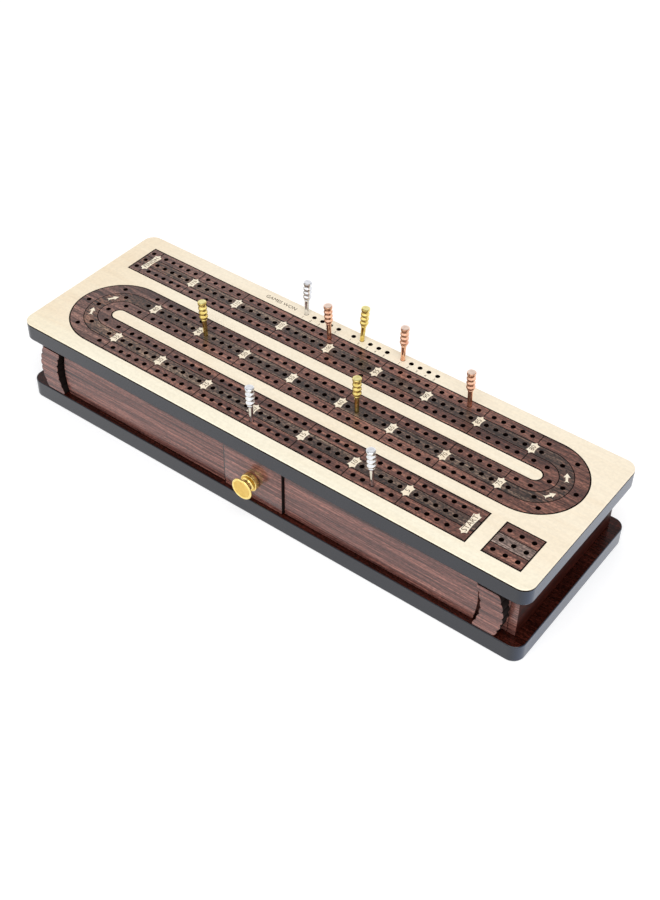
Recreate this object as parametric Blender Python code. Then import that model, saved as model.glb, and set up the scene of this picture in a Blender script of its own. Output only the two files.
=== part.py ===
"""Cribbage board with an inlaid S-shaped track, nine lift-out pegs and a peg drawer.

Two painted boards of the same outline are held apart by a hollow wooden body. The
upper board carries a maple field with the three dark track strips let into it. A
small drawer with a turned brass knob slides out of the front (-Y) of the body.

Frame: metres, +X along the board, +Y to its back, +Z up. The origin is the centre
of the base board's underside.
"""

from math import atan2, cos, pi, radians, sin

import bmesh
import bpy
from mathutils import Euler

# ------------------------------------------------------------------ driving dimensions
PITCH = 0.00625                 # from one peg hole to the next along a lane
BOARD_LENGTH = 0.3566
BOARD_WIDTH = 0.1164
CORNER_RADIUS = 0.0072
BASE_THICKNESS = 0.0114
BODY_GAP = 0.0334               # between the base board and the top board
TOP_THICKNESS = 0.01175
FIT = 0.0003                    # clearance between two pieces that touch

# heights
BASE_TOP = BASE_THICKNESS
TOP_UNDERSIDE = BASE_TOP + BODY_GAP
TOP_SURFACE = TOP_UNDERSIDE + TOP_THICKNESS
INLAY_THICKNESS = 0.00675
INLAY_UNDERSIDE = TOP_SURFACE - INLAY_THICKNESS

# the track: three lanes in an S, each lane three strips wide
LANE_SPACING = 0.0347
LANE_WIDTH = 0.025
STRIP_WIDTH = LANE_WIDTH / 3
TRACK_OFFSET = 1.313 * PITCH    # an outer row of holes from its lane's centre line
GROUP_HOLES = 5
GROUP_PERIOD = 5.644 * PITCH
INLAY_X = 0.0008                # the inlay's middle, a little right of the boards' middle
FIRST_HOLE_X = INLAY_X - 24.435 * PITCH  # first hole of the back lane's first group
MIDDLE_LANE_Y = -0.0004
FRONT_LANE_Y = MIDDLE_LANE_Y - LANE_SPACING
BACK_LANE_Y = MIDDLE_LANE_Y + LANE_SPACING
START_X = FIRST_HOLE_X + 45.69 * PITCH
FINISH_X = FIRST_HOLE_X - 2.12 * PITCH
LEFT_TURN_X = FIRST_HOLE_X + 2.6 * PITCH
RIGHT_TURN_X = FIRST_HOLE_X + 46.15 * PITCH
TURN_RADIUS = LANE_SPACING / 2
TURN_ENTRY_LEFT_X = FIRST_HOLE_X + 3.87 * PITCH
TURN_ENTRY_RIGHT_X = FIRST_HOLE_X + 45.2 * PITCH
ARC_STEPS = 18

# peg holes
HOLE_RADIUS = 0.00155           # to the corners of the hexagon that stands for a hole
HOLE_SIDES = 6
HOLE_DEPTH = 0.0058
GAMES_ROW_Y = BACK_LANE_Y + 2.98 * PITCH
GAMES_MIDDLE_X = FIRST_HOLE_X + 4 * GROUP_PERIOD + 2 * PITCH
GAMES_PERIOD = GROUP_PERIOD + 0.09 * PITCH
GAMES_PITCH = 0.985 * PITCH

# the starting block, a short piece of the same three strips
BLOCK_LEFT_X = FIRST_HOLE_X + 47.31 * PITCH
BLOCK_RIGHT_X = FIRST_HOLE_X + 51.02 * PITCH
BLOCK_HOLE_STEP = 1.185 * PITCH

# the hollow body between the boards
BODY_X = -0.0006                # the body's middle, a little left of the boards' middle
BODY_END_X = 0.1716             # to each end from the body's middle
BODY_FRONT_Y = -0.0507
WALL = 0.005
WALL_BOTTOM = BASE_TOP + FIT
WALL_TOP = TOP_UNDERSIDE - FIT
FACING_THICKNESS = 0.0034
FACING_GAP = 0.0012             # between a facing's end and the bracket beside it, at its ends
FACING_BOW = 0.5                # a facing's end bows this much of what the bracket does

# scalloped corner brackets
BRACKET_INNER_X = 0.1499
BRACKET_WIDTH = 0.0122
BRACKET_BULGE = 0.0038
BRACKET_DEPTH = 0.0066
BRACKET_TOP_GAP = 0.0014
SCALLOPS = 6
SCALLOP_DEPTH = 0.0010

# the drawer
DRAWER_FRONT_WIDTH = 0.0425
DRAWER_FRONT_Y = -0.0560
DRAWER_SIDE_GAP = 0.0006
TRAY_WIDTH = 0.0400
TRAY_BACK_Y = 0.0380
TRAY_HEIGHT = 0.0281
TRAY_SIDE = 0.0026
TRAY_FLOOR = 0.0020
GUIDE_PLAY = 0.0004
SCREW_HOLE_RADIUS = 0.0019
SCREW_HOLE_SIDES = 8
KNOB_LENGTH = 0.0097
KNOB_SIDES = 14
KNOB_DROP = 0.0016              # the knob sits this much below the middle of the body
KNOB_Z = BASE_TOP + BODY_GAP / 2 - KNOB_DROP
KNOB_FOOT_RADIUS = 0.0057       # the broad foot against the drawer front
KNOB_FOOT_LENGTH = 0.0034
KNOB_NECK_RADIUS = 0.0031
KNOB_FACE_RADIUS = 0.0071
KNOB_FACE_START = 0.0082        # from the drawer front to the back of the knob's face
KNOB_ROUNDING = 0.0006
KNOB_BORE_RADIUS = 0.0018
KNOB_BORE_DEPTH = 0.0062
SCREW_RADIUS = 0.0014
SCREW_HEAD_RADIUS = 0.0031
SCREW_HEAD_HEIGHT = 0.0017
SCREW_END_GAP = 0.0006          # from the screw's end to the bottom of the bore

# pegs
PEG_HEIGHT = 0.0240             # above the board, for a peg that sits deepest in its hole
PEG_DEPTH = 0.0052              # in the hole
PEG_SIDES = 8
PEG_TIP_RADIUS = 0.0009
PEG_MOUTH_RADIUS = 0.0012       # where the shank enters the hole
PEG_MOUTH_HEIGHT = 0.0004
SHANK_RADIUS = 0.0015
COLLAR_HEIGHT = 0.0008          # the flare from the shank to the lowest bead
BEADS = 4
BEAD_STEP = 0.0031
BEAD_RADIUS = 0.00265
BEAD_WAIST = 0.0021
BEAD_SHOULDER = 0.3             # the part of a bead's height that each of its ends slopes over

# ------------------------------------------------------------------ materials
ROSEWOOD = ("rosewood", (0.145, 0.052, 0.036), 0.35, 0.0)
DARK_WOOD = ("dark_wood", (0.085, 0.055, 0.047), 0.38, 0.0)
MAPLE = ("maple", (0.93, 0.80, 0.60), 0.42, 0.0)
PAINT = ("grey_paint", (0.085, 0.092, 0.105), 0.45, 0.0)
PINE = ("pine", (0.62, 0.45, 0.28), 0.6, 0.0)
BRASS = ("brass", (0.86, 0.62, 0.18), 0.18, 1.0)
COPPER = ("copper", (0.86, 0.47, 0.34), 0.2, 1.0)
CHROME = ("chrome", (0.80, 0.81, 0.83), 0.12, 1.0)
STEEL = ("steel", (0.55, 0.55, 0.56), 0.3, 1.0)


def clear_scene():
    """Start from an empty scene."""
    for item in list(bpy.data.objects):
        bpy.data.objects.remove(item, do_unlink=True)


def material(finish):
    """A Principled material from a name, colour, roughness and metallic value."""
    name, colour, roughness, metallic = finish
    found = bpy.data.materials.get(name)
    if found:
        return found
    made = bpy.data.materials.new(name)
    made.use_nodes = True
    made.diffuse_color = (*colour, 1.0)
    shader = made.node_tree.nodes["Principled BSDF"]
    shader.inputs["Base Color"].default_value = (*colour, 1.0)
    shader.inputs["Roughness"].default_value = roughness
    shader.inputs["Metallic"].default_value = metallic
    return made


def finish_object(name, mesh_data, finish, origin=(0.0, 0.0, 0.0), smooth=False):
    """Turn a bmesh into a named object with outward faces and a material."""
    bmesh.ops.recalc_face_normals(mesh_data, faces=mesh_data.faces)
    mesh = bpy.data.meshes.new(name)
    mesh_data.to_mesh(mesh)
    mesh_data.free()
    if smooth:
        mesh.shade_smooth()
        mesh.set_sharp_from_angle(angle=radians(35))
    mesh.materials.append(material(finish))
    item = bpy.data.objects.new(name, mesh)
    item.location = origin
    bpy.context.scene.collection.objects.link(item)
    return item


# ------------------------------------------------------------------ outlines
def arc(centre, radius, start, end, steps):
    """Points on an arc, angles in radians, both ends included."""
    turn = (end - start) / steps
    return [
        (centre[0] + radius * cos(start + turn * i), centre[1] + radius * sin(start + turn * i))
        for i in range(steps + 1)
    ]


def polygon(centre, radius, sides):
    """A regular polygon that stands for a round hole."""
    return arc(centre, radius, 0.0, 2 * pi * (sides - 1) / sides, sides - 1)


def rectangle(low, high):
    return [(low[0], low[1]), (high[0], low[1]), (high[0], high[1]), (low[0], high[1])]


def board_outline(steps=5):
    """The shared outline of both boards: a rectangle with round corners."""
    x = BOARD_LENGTH / 2 - CORNER_RADIUS
    y = BOARD_WIDTH / 2 - CORNER_RADIUS
    points = []
    for quarter, centre in enumerate(((x, y), (-x, y), (-x, -y), (x, -y))):
        start = quarter * pi / 2
        points += arc(centre, CORNER_RADIUS, start, start + pi / 2, steps)
    return points


def track_line(offset, end_trim=0.0):
    """A line along the S-shaped track, offset to the left of the direction of play.

    Play runs along the front lane to the left, round the left turn, along the middle
    lane to the right, round the right turn and along the back lane to the left.
    """
    left_centre = (LEFT_TURN_X, (FRONT_LANE_Y + MIDDLE_LANE_Y) / 2)
    right_centre = (RIGHT_TURN_X, (MIDDLE_LANE_Y + BACK_LANE_Y) / 2)
    line = [(START_X - end_trim, FRONT_LANE_Y - offset)]
    line += arc(left_centre, TURN_RADIUS + offset, -pi / 2, -3 * pi / 2, ARC_STEPS)
    line += arc(right_centre, TURN_RADIUS - offset, -pi / 2, pi / 2, ARC_STEPS)
    line.append((FINISH_X + end_trim, BACK_LANE_Y - offset))
    return line


def ribbon(from_offset, to_offset, end_trim=0.0):
    """The closed outline between two lines along the track."""
    return track_line(from_offset, end_trim) + track_line(to_offset, end_trim)[::-1]


# ------------------------------------------------------------------ hole positions
def lane_group(start_x, y):
    return [(start_x + i * PITCH, y) for i in range(GROUP_HOLES)]


def track_holes(offset):
    """All the holes of one player's track, from the start to the finish hole."""
    holes = []
    for group in range(1, 8):
        start_x = FIRST_HOLE_X + group * GROUP_PERIOD
        holes += lane_group(start_x, FRONT_LANE_Y - offset)
        holes += lane_group(start_x, MIDDLE_LANE_Y + offset)
    for group in range(8):
        holes += lane_group(FIRST_HOLE_X + group * GROUP_PERIOD, BACK_LANE_Y - offset)
    holes.append((FIRST_HOLE_X - 1.65 * PITCH, BACK_LANE_Y - offset))
    holes += turn_holes(LEFT_TURN_X, FRONT_LANE_Y, -1, TURN_RADIUS + offset)
    holes += turn_holes(RIGHT_TURN_X, MIDDLE_LANE_Y, 1, TURN_RADIUS - offset)
    for sign, y in ((-1, FRONT_LANE_Y), (1, MIDDLE_LANE_Y)):
        holes.append((TURN_ENTRY_LEFT_X, y + sign * offset))
    for sign, y in ((1, MIDDLE_LANE_Y), (-1, BACK_LANE_Y)):
        holes.append((TURN_ENTRY_RIGHT_X, y + sign * offset))
    return holes


def turn_spread(radius):
    """The angle between a turn's middle hole and the next: wider on a tight track."""
    if radius > TURN_RADIUS + STRIP_WIDTH / 2:
        return radians(55)
    if radius > TURN_RADIUS - STRIP_WIDTH / 2:
        return radians(60)
    return radians(73)


def turn_holes(centre_x, lower_lane_y, side, radius):
    """Three holes round a turn; side is -1 for the left turn and 1 for the right."""
    centre_y = lower_lane_y + LANE_SPACING / 2
    spread = turn_spread(radius)
    return [
        (centre_x + side * radius * cos(angle), centre_y + radius * sin(angle))
        for angle in (-spread, 0.0, spread)
    ]


def games_holes():
    """Three rows of five holes along the back edge that count games won."""
    return [games_hole(row, i) for row in (-1, 0, 1) for i in range(GROUP_HOLES)]


def games_hole(row, index):
    """A games-won hole; the middle row of five is row 0."""
    along = row * GAMES_PERIOD + (index - GROUP_HOLES // 2) * GAMES_PITCH
    return (GAMES_MIDDLE_X + along, GAMES_ROW_Y)


def hole_loops(centres):
    return [polygon(centre, HOLE_RADIUS, HOLE_SIDES) for centre in centres]


# ------------------------------------------------------------------ solids
def ring(mesh_data, points, height):
    """A closed ring of vertices and edges at one height."""
    verts = [mesh_data.verts.new((x, y, height)) for x, y in points]
    edges = [mesh_data.edges.new((verts[i - 1], verts[i])) for i in range(len(verts))]
    return verts, edges


def side_walls(mesh_data, upper, lower):
    for i in range(len(upper)):
        mesh_data.faces.new((upper[i - 1], upper[i], lower[i], lower[i - 1]))


def flat_solid(name, outline, low, high, finish, cuts=(), blind=(), depth=HOLE_DEPTH):
    """A flat piece with openings cut through it and blind holes sunk in its top."""
    mesh_data = bmesh.new()
    top_edges = []
    bottom_edges = []
    for loop in (outline, *cuts):
        upper, upper_edges = ring(mesh_data, loop, high)
        lower, lower_edges = ring(mesh_data, loop, low)
        side_walls(mesh_data, upper, lower)
        top_edges += upper_edges
        bottom_edges += lower_edges
    for loop in blind:
        upper, upper_edges = ring(mesh_data, loop, high)
        lower, _ = ring(mesh_data, loop, high - depth)
        side_walls(mesh_data, upper, lower)
        mesh_data.faces.new(lower)
        top_edges += upper_edges
    for edges in (top_edges, bottom_edges):
        bmesh.ops.triangle_fill(mesh_data, use_beauty=True, use_dissolve=False, edges=edges)
    return finish_object(name, mesh_data, finish)


def block(name, low, high, finish):
    """A plain board between two corners."""
    return flat_solid(name, rectangle(low, high), low[2], high[2], finish)


def upright_solid(name, outline, front_y, back_y, finish, cuts=()):
    """A piece whose outline lies in XZ, thick along Y."""
    item = flat_solid(name, outline, 0.0, back_y - front_y, finish, cuts)
    for vertex in item.data.vertices:
        x, z, depth = vertex.co
        vertex.co = (x, back_y - depth, z)
    return item


def turned_solid(name, profile, sides, axis, finish, origin):
    """A solid of revolution; the profile lists (along the axis, radius), ends closed."""
    mesh_data = bmesh.new()
    rings = []
    for along, radius in profile:
        if radius == 0.0:
            rings.append([mesh_data.verts.new(axis_point(axis, along, 0.0, 0.0))])
            continue
        rings.append([
            mesh_data.verts.new(axis_point(axis, along, radius, 2 * pi * i / sides))
            for i in range(sides)
        ])
    for first, second in zip(rings, rings[1:]):
        for i in range(sides):
            near = [first[i - 1], first[i]] if len(first) > 1 else first
            far = [second[i], second[i - 1]] if len(second) > 1 else second
            mesh_data.faces.new(near + far)
    return finish_object(name, mesh_data, finish, origin, smooth=True)


def axis_point(axis, along, radius, angle):
    """A point round a +Z axis, or round an axis that runs along -Y."""
    if axis == "Z":
        return (radius * cos(angle), radius * sin(angle), along)
    return (radius * cos(angle), -along, radius * sin(angle))


# ------------------------------------------------------------------ boards and inlay
def make_boards():
    outline = board_outline()
    flat_solid("base_board", outline, 0.0, BASE_TOP, PAINT)
    flat_solid("top_board", outline, TOP_UNDERSIDE, INLAY_UNDERSIDE - FIT, PAINT)


def make_maple_field():
    lane_edge = LANE_WIDTH / 2 + FIT / 2
    block_low = (BLOCK_LEFT_X, FRONT_LANE_Y - lane_edge)
    block_high = (BLOCK_RIGHT_X, FRONT_LANE_Y + lane_edge)
    flat_solid(
        "maple_field", board_outline(), INLAY_UNDERSIDE, TOP_SURFACE, MAPLE,
        cuts=[ribbon(-lane_edge, lane_edge), rectangle(block_low, block_high)],
        blind=hole_loops(games_holes()),
    )


def strip_edges(index):
    """A strip's two offsets, less half the joint on each side; index is -1, 0 or 1."""
    return (index - 0.5) * STRIP_WIDTH + FIT / 2, (index + 0.5) * STRIP_WIDTH - FIT / 2


def make_track_strips():
    for name, index, finish in (
        ("track_strip_outer", 1, ROSEWOOD),
        ("track_strip_centre", 0, DARK_WOOD),
        ("track_strip_inner", -1, ROSEWOOD),
    ):
        low, high = strip_edges(index)
        flat_solid(
            name, ribbon(low, high, end_trim=FIT), INLAY_UNDERSIDE, TOP_SURFACE, finish,
            blind=hole_loops(track_holes(index * TRACK_OFFSET)),
        )


def make_starting_block():
    middle_x = (BLOCK_LEFT_X + BLOCK_RIGHT_X) / 2
    for name, index, finish in (
        ("start_block_front", -1, ROSEWOOD),
        ("start_block_centre", 0, DARK_WOOD),
        ("start_block_back", 1, ROSEWOOD),
    ):
        low, high = strip_edges(index)
        holes = [
            (middle_x + step * BLOCK_HOLE_STEP, FRONT_LANE_Y + index * TRACK_OFFSET)
            for step in (-1, 0, 1)
        ]
        flat_solid(
            name,
            rectangle((BLOCK_LEFT_X + FIT, FRONT_LANE_Y + low),
                      (BLOCK_RIGHT_X - FIT, FRONT_LANE_Y + high)),
            INLAY_UNDERSIDE, TOP_SURFACE, finish, blind=hole_loops(holes),
        )


# ------------------------------------------------------------------ body
def guide_inner_x():
    return TRAY_WIDTH / 2 + GUIDE_PLAY


def body_span(sign, near, far):
    """The low and high X of a body piece from its distances to the body's middle."""
    return sorted((BODY_X + sign * near, BODY_X + sign * far))


def make_body_walls():
    front = BODY_FRONT_Y
    back = -BODY_FRONT_Y
    inside_x = BODY_END_X - WALL - FIT
    guide_x = guide_inner_x()
    for side, sign in (("left", -1), ("right", 1)):
        low_x, high_x = body_span(sign, BODY_END_X - WALL, BODY_END_X)
        block("end_wall_" + side, (low_x, front, WALL_BOTTOM), (high_x, back, WALL_TOP),
              ROSEWOOD)
        low_x, high_x = body_span(sign, guide_x + WALL + FIT, inside_x)
        block("front_wall_" + side, (low_x, front, WALL_BOTTOM),
              (high_x, front + WALL, WALL_TOP), ROSEWOOD)
        low_x, high_x = body_span(sign, guide_x, guide_x + WALL)
        block("drawer_guide_" + side, (low_x, front, WALL_BOTTOM),
              (high_x, back - WALL - FIT, WALL_TOP), PINE)
    block("back_wall", (BODY_X - inside_x, back - WALL, WALL_BOTTOM),
          (BODY_X + inside_x, back, WALL_TOP), ROSEWOOD)


def facing_end(steps=12):
    """The end of a facing, bottom to top: it follows the bow of the bracket beside it."""
    top = WALL_TOP - BRACKET_TOP_GAP
    start = BRACKET_INNER_X - SCALLOP_DEPTH - FACING_GAP
    points = []
    for i in range(steps + 1):
        share = i / steps
        points.append((start + FACING_BOW * BRACKET_BULGE * sin(pi * share),
                       WALL_BOTTOM + share * (top - WALL_BOTTOM)))
    points.append((start, WALL_TOP))
    return points


def make_facings():
    opening_x = DRAWER_FRONT_WIDTH / 2 + DRAWER_SIDE_GAP
    near = BODY_FRONT_Y - FIT
    end = facing_end()
    for side, sign in (("left", -1), ("right", 1)):
        outline = [(opening_x, WALL_BOTTOM), *end, (opening_x, WALL_TOP)]
        upright_solid("front_facing_" + side, [(BODY_X + sign * x, z) for x, z in outline],
                      near - FACING_THICKNESS, near, ROSEWOOD)
    outline = [(BODY_X + x, z) for x, z in end] + [(BODY_X - x, z) for x, z in end[::-1]]
    upright_solid("back_facing", outline, -near, -near + FACING_THICKNESS, ROSEWOOD)


def bracket_edge(inner, steps_per_scallop=4):
    """One long edge of a bracket, bottom to top: bowed outward, with scallops."""
    height = WALL_TOP - BRACKET_TOP_GAP - WALL_BOTTOM
    start = BRACKET_INNER_X if inner else BRACKET_INNER_X + BRACKET_WIDTH
    outward = -1 if inner else 1
    count = SCALLOPS * steps_per_scallop
    points = []
    for i in range(count + 1):
        share = i / count
        bow = BRACKET_BULGE * sin(pi * share)
        scallop = SCALLOP_DEPTH * abs(sin(pi * share * SCALLOPS))
        points.append((start + bow + outward * scallop, WALL_BOTTOM + share * height))
    return points


def make_brackets():
    outline = bracket_edge(inner=True) + bracket_edge(inner=False)[::-1]
    near = -BODY_FRONT_Y + FIT
    for side, sign in (("left", -1), ("right", 1)):
        shape = [(BODY_X + sign * x, z) for x, z in outline]
        upright_solid("bracket_front_" + side, shape, -near - BRACKET_DEPTH, -near, ROSEWOOD)
        upright_solid("bracket_back_" + side, shape, near, near + BRACKET_DEPTH, ROSEWOOD)


# ------------------------------------------------------------------ drawer
def drawer_origin():
    """The drawer slides along this line through the middle of its front."""
    return (BODY_X, BODY_FRONT_Y, KNOB_Z)


def make_drawer(slider):
    half_front = DRAWER_FRONT_WIDTH / 2
    hole = polygon((BODY_X, KNOB_Z), SCREW_HOLE_RADIUS, SCREW_HOLE_SIDES)
    front = upright_solid(
        "drawer_front",
        rectangle((BODY_X - half_front, WALL_BOTTOM), (BODY_X + half_front, WALL_TOP)),
        DRAWER_FRONT_Y, BODY_FRONT_Y - FIT, ROSEWOOD, cuts=[hole],
    )
    half = TRAY_WIDTH / 2
    inside = half - TRAY_SIDE
    top = WALL_BOTTOM + TRAY_HEIGHT
    tray_front = BODY_FRONT_Y
    pieces = [front]
    for side, sign in (("left", -1), ("right", 1)):
        low_x, high_x = body_span(sign, inside, half)
        pieces.append(block("drawer_side_" + side, (low_x, tray_front, WALL_BOTTOM),
                            (high_x, TRAY_BACK_Y, top), PINE))
    inside -= FIT
    low_x, high_x = BODY_X - inside, BODY_X + inside
    tray_end = TRAY_BACK_Y - TRAY_SIDE
    pieces.append(block("drawer_back", (low_x, tray_end, WALL_BOTTOM),
                        (high_x, TRAY_BACK_Y, top), PINE))
    pieces.append(block("drawer_floor", (low_x, tray_front, WALL_BOTTOM),
                        (high_x, tray_end - FIT, WALL_BOTTOM + TRAY_FLOOR), PINE))
    pieces += make_knob()
    for piece in pieces:
        ride_on(piece, slider)


def make_knob():
    """A turned brass knob with a bored foot, and the screw that holds it."""
    knob_profile = [
        (KNOB_BORE_DEPTH, 0.0),
        (KNOB_BORE_DEPTH, KNOB_BORE_RADIUS),
        (0.0, KNOB_BORE_RADIUS),
        (0.0, KNOB_FOOT_RADIUS - KNOB_ROUNDING),
        (KNOB_ROUNDING, KNOB_FOOT_RADIUS),
        (KNOB_FOOT_LENGTH - KNOB_ROUNDING, KNOB_FOOT_RADIUS),
        (KNOB_FOOT_LENGTH, KNOB_FOOT_RADIUS - KNOB_ROUNDING),
        (KNOB_FOOT_LENGTH + KNOB_ROUNDING, KNOB_NECK_RADIUS + KNOB_ROUNDING),
        ((KNOB_FOOT_LENGTH + KNOB_FACE_START) / 2, KNOB_NECK_RADIUS),
        (KNOB_FACE_START - KNOB_ROUNDING, KNOB_NECK_RADIUS + KNOB_ROUNDING),
        (KNOB_FACE_START, KNOB_FACE_RADIUS - KNOB_ROUNDING),
        (KNOB_FACE_START + KNOB_ROUNDING, KNOB_FACE_RADIUS),
        (KNOB_LENGTH - KNOB_ROUNDING / 2, KNOB_FACE_RADIUS - KNOB_ROUNDING / 2),
        (KNOB_LENGTH, KNOB_FACE_RADIUS - 2 * KNOB_ROUNDING),
        (KNOB_LENGTH, 0.0),
    ]
    knob = turned_solid("knob", knob_profile, KNOB_SIDES, "-Y", BRASS,
                        (BODY_X, DRAWER_FRONT_Y - FIT, KNOB_Z))
    reach = BODY_FRONT_Y - DRAWER_FRONT_Y + KNOB_BORE_DEPTH - SCREW_END_GAP
    screw_profile = [
        (-SCREW_HEAD_HEIGHT, 0.0),
        (-SCREW_HEAD_HEIGHT + KNOB_ROUNDING / 3, 0.7 * SCREW_HEAD_RADIUS),
        (-0.4 * SCREW_HEAD_HEIGHT, SCREW_HEAD_RADIUS),
        (0.0, SCREW_HEAD_RADIUS),
        (0.0, SCREW_RADIUS),
        (reach, SCREW_RADIUS),
        (reach, 0.0),
    ]
    screw = turned_solid("knob_screw", screw_profile, SCREW_HOLE_SIDES, "-Y", STEEL,
                         drawer_origin())
    return [knob, screw]


def ride_on(piece, parent):
    """Parent a piece to an empty without moving it."""
    piece.parent = parent
    piece.matrix_parent_inverse = parent.matrix_world.inverted()


def make_slider():
    """The empty on the drawer's sliding line that carries the drawer's pieces."""
    slider = bpy.data.objects.new("drawer_slide", None)
    slider.location = drawer_origin()
    bpy.context.scene.collection.objects.link(slider)
    bpy.context.view_layer.update()
    return slider


# ------------------------------------------------------------------ pegs
def peg_profile():
    """A tapered shank in the hole, and a head of stacked beads with a flat top."""
    head_bottom = PEG_HEIGHT - BEADS * BEAD_STEP
    profile = [
        (-PEG_DEPTH, 0.0), (-PEG_DEPTH, PEG_TIP_RADIUS), (PEG_MOUTH_HEIGHT, PEG_MOUTH_RADIUS),
        (head_bottom - COLLAR_HEIGHT, SHANK_RADIUS),
    ]
    for bead in range(BEADS):
        low = head_bottom + bead * BEAD_STEP
        profile.append((low, BEAD_WAIST))
        profile.append((low + BEAD_SHOULDER * BEAD_STEP, BEAD_RADIUS))
        profile.append((low + (1 - BEAD_SHOULDER) * BEAD_STEP, BEAD_RADIUS))
    profile.append((PEG_HEIGHT, BEAD_WAIST))
    profile.append((PEG_HEIGHT, 0.0))
    return profile


def group_hole(group, index):
    return FIRST_HOLE_X + group * GROUP_PERIOD + index * PITCH


def make_pegs():
    """Three pegs for each player: two on the track and one in the games-won row.

    Each line gives a peg's hole, how far it stands out above the one that sits deepest, and
    how far its top leans along X and along Y, since the pegs are loose in their holes.
    """
    front_y = FRONT_LANE_Y - TRACK_OFFSET
    back_y = BACK_LANE_Y + TRACK_OFFSET
    places = {
        "silver": (CHROME, (
            ((group_hole(4, 0), front_y), 0.0007, (-0.0004, -0.0003)),
            ((group_hole(6, 2), front_y), 0.0016, (-0.0011, -0.0009)),
            (games_hole(-1, 0), 0.0, (0.0006, 0.0005)),
        )),
        "gold": (BRASS, (
            ((group_hole(2, 0), MIDDLE_LANE_Y), 0.0007, (-0.0009, -0.0007)),
            ((group_hole(5, 1), MIDDLE_LANE_Y), 0.0003, (-0.0003, -0.0003)),
            (games_hole(0, 1), 0.0002, (0.0012, 0.0010)),
        )),
        "copper": (COPPER, (
            ((group_hole(3, 4), back_y), 0.0005, (-0.0009, -0.0007)),
            ((group_hole(6, 3), back_y), 0.0010, (-0.0006, -0.0005)),
            (games_hole(1, 0), 0.0, (0.0002, 0.0002)),
        )),
    }
    profile = peg_profile()
    for colour, (finish, pegs) in places.items():
        for number, ((x, y), raised, (lean_x, lean_y)) in enumerate(pegs, start=1):
            peg = turned_solid(f"peg_{colour}_{number}", profile, PEG_SIDES, "Z", finish,
                               (x, y, TOP_SURFACE + raised))
            tilt = Euler((-atan2(lean_y, PEG_HEIGHT), atan2(lean_x, PEG_HEIGHT), 0.0))
            peg.data.transform(tilt.to_matrix().to_4x4())


clear_scene()
make_boards()
make_maple_field()
make_track_strips()
make_starting_block()
make_body_walls()
make_facings()
make_brackets()
make_drawer(make_slider())
make_pegs()
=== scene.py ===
from math import atan2, cos, pi, radians, sin, sqrt

import bmesh
import bpy
from mathutils import Euler, Matrix, Vector


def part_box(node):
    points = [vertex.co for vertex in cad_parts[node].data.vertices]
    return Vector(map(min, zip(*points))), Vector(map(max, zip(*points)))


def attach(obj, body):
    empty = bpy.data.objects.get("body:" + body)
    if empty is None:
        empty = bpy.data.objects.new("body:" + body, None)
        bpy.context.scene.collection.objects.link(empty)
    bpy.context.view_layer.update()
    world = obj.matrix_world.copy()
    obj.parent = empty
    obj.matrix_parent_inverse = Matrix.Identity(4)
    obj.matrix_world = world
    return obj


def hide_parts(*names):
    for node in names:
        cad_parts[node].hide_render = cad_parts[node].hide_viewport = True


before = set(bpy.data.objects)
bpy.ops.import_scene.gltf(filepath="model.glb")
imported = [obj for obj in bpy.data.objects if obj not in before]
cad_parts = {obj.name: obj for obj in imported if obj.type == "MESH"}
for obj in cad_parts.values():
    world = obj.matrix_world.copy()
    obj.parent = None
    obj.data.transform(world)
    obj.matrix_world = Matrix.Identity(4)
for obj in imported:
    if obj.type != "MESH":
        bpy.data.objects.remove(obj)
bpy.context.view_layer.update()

MM = 0.001

# ---------------- layout, as in the CAD
PITCH = 6.25 * MM
LANE_SPACING = 34.7 * MM
LANE_WIDTH = 25.0 * MM
STRIP_WIDTH = LANE_WIDTH / 3
TRACK_OFFSET = 1.313 * PITCH
JOINT = 0.3 * MM
GROUP_HOLES = 5
LANE_GROUPS = 8                 # groups of holes in the back lane; the others have one fewer
GROUP_PERIOD = 5.644 * PITCH
INLAY_X = 0.8 * MM
FIRST_HOLE_X = INLAY_X - 24.435 * PITCH
MIDDLE_LANE_Y = -0.4 * MM
FRONT_LANE_Y = MIDDLE_LANE_Y - LANE_SPACING
BACK_LANE_Y = MIDDLE_LANE_Y + LANE_SPACING
START_X = FIRST_HOLE_X + 45.69 * PITCH
FINISH_X = FIRST_HOLE_X - 2.12 * PITCH
LEFT_TURN_X = FIRST_HOLE_X + 2.6 * PITCH
RIGHT_TURN_X = FIRST_HOLE_X + 46.15 * PITCH
TURN_RADIUS = LANE_SPACING / 2
TURN_ENTRY_LEFT_X = FIRST_HOLE_X + 3.87 * PITCH
TURN_ENTRY_RIGHT_X = FIRST_HOLE_X + 45.2 * PITCH
TURN_SPREADS = (radians(73), radians(60), radians(55))  # inner, centre and outer strip
FINISH_HOLE_X = FIRST_HOLE_X - 1.65 * PITCH
FIRST_SEPARATOR_X = FIRST_HOLE_X + 4.822 * PITCH
GAMES_ROW_Y = BACK_LANE_Y + 2.98 * PITCH
GAMES_MIDDLE_X = FIRST_HOLE_X + 4 * GROUP_PERIOD + 2 * PITCH
GAMES_PERIOD = GROUP_PERIOD + 0.09 * PITCH
GAMES_PITCH = 0.985 * PITCH
BLOCK_HOLE_STEP = 1.185 * PITCH
HOLE_RADIUS = 1.38 * MM
HOLE_DEPTH = 5.8 * MM
HOLE_EASE = 0.12 * MM           # the softened rim of a hole or an inlay
HOLE_SIDES = 24
HOLE_TIP_DEPTH = 0.25 * HOLE_RADIUS
HOLE_TIP_RADIUS = 0.35 * HOLE_RADIUS
ARC_STEPS = 64
CORNER_STEPS = 12

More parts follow.
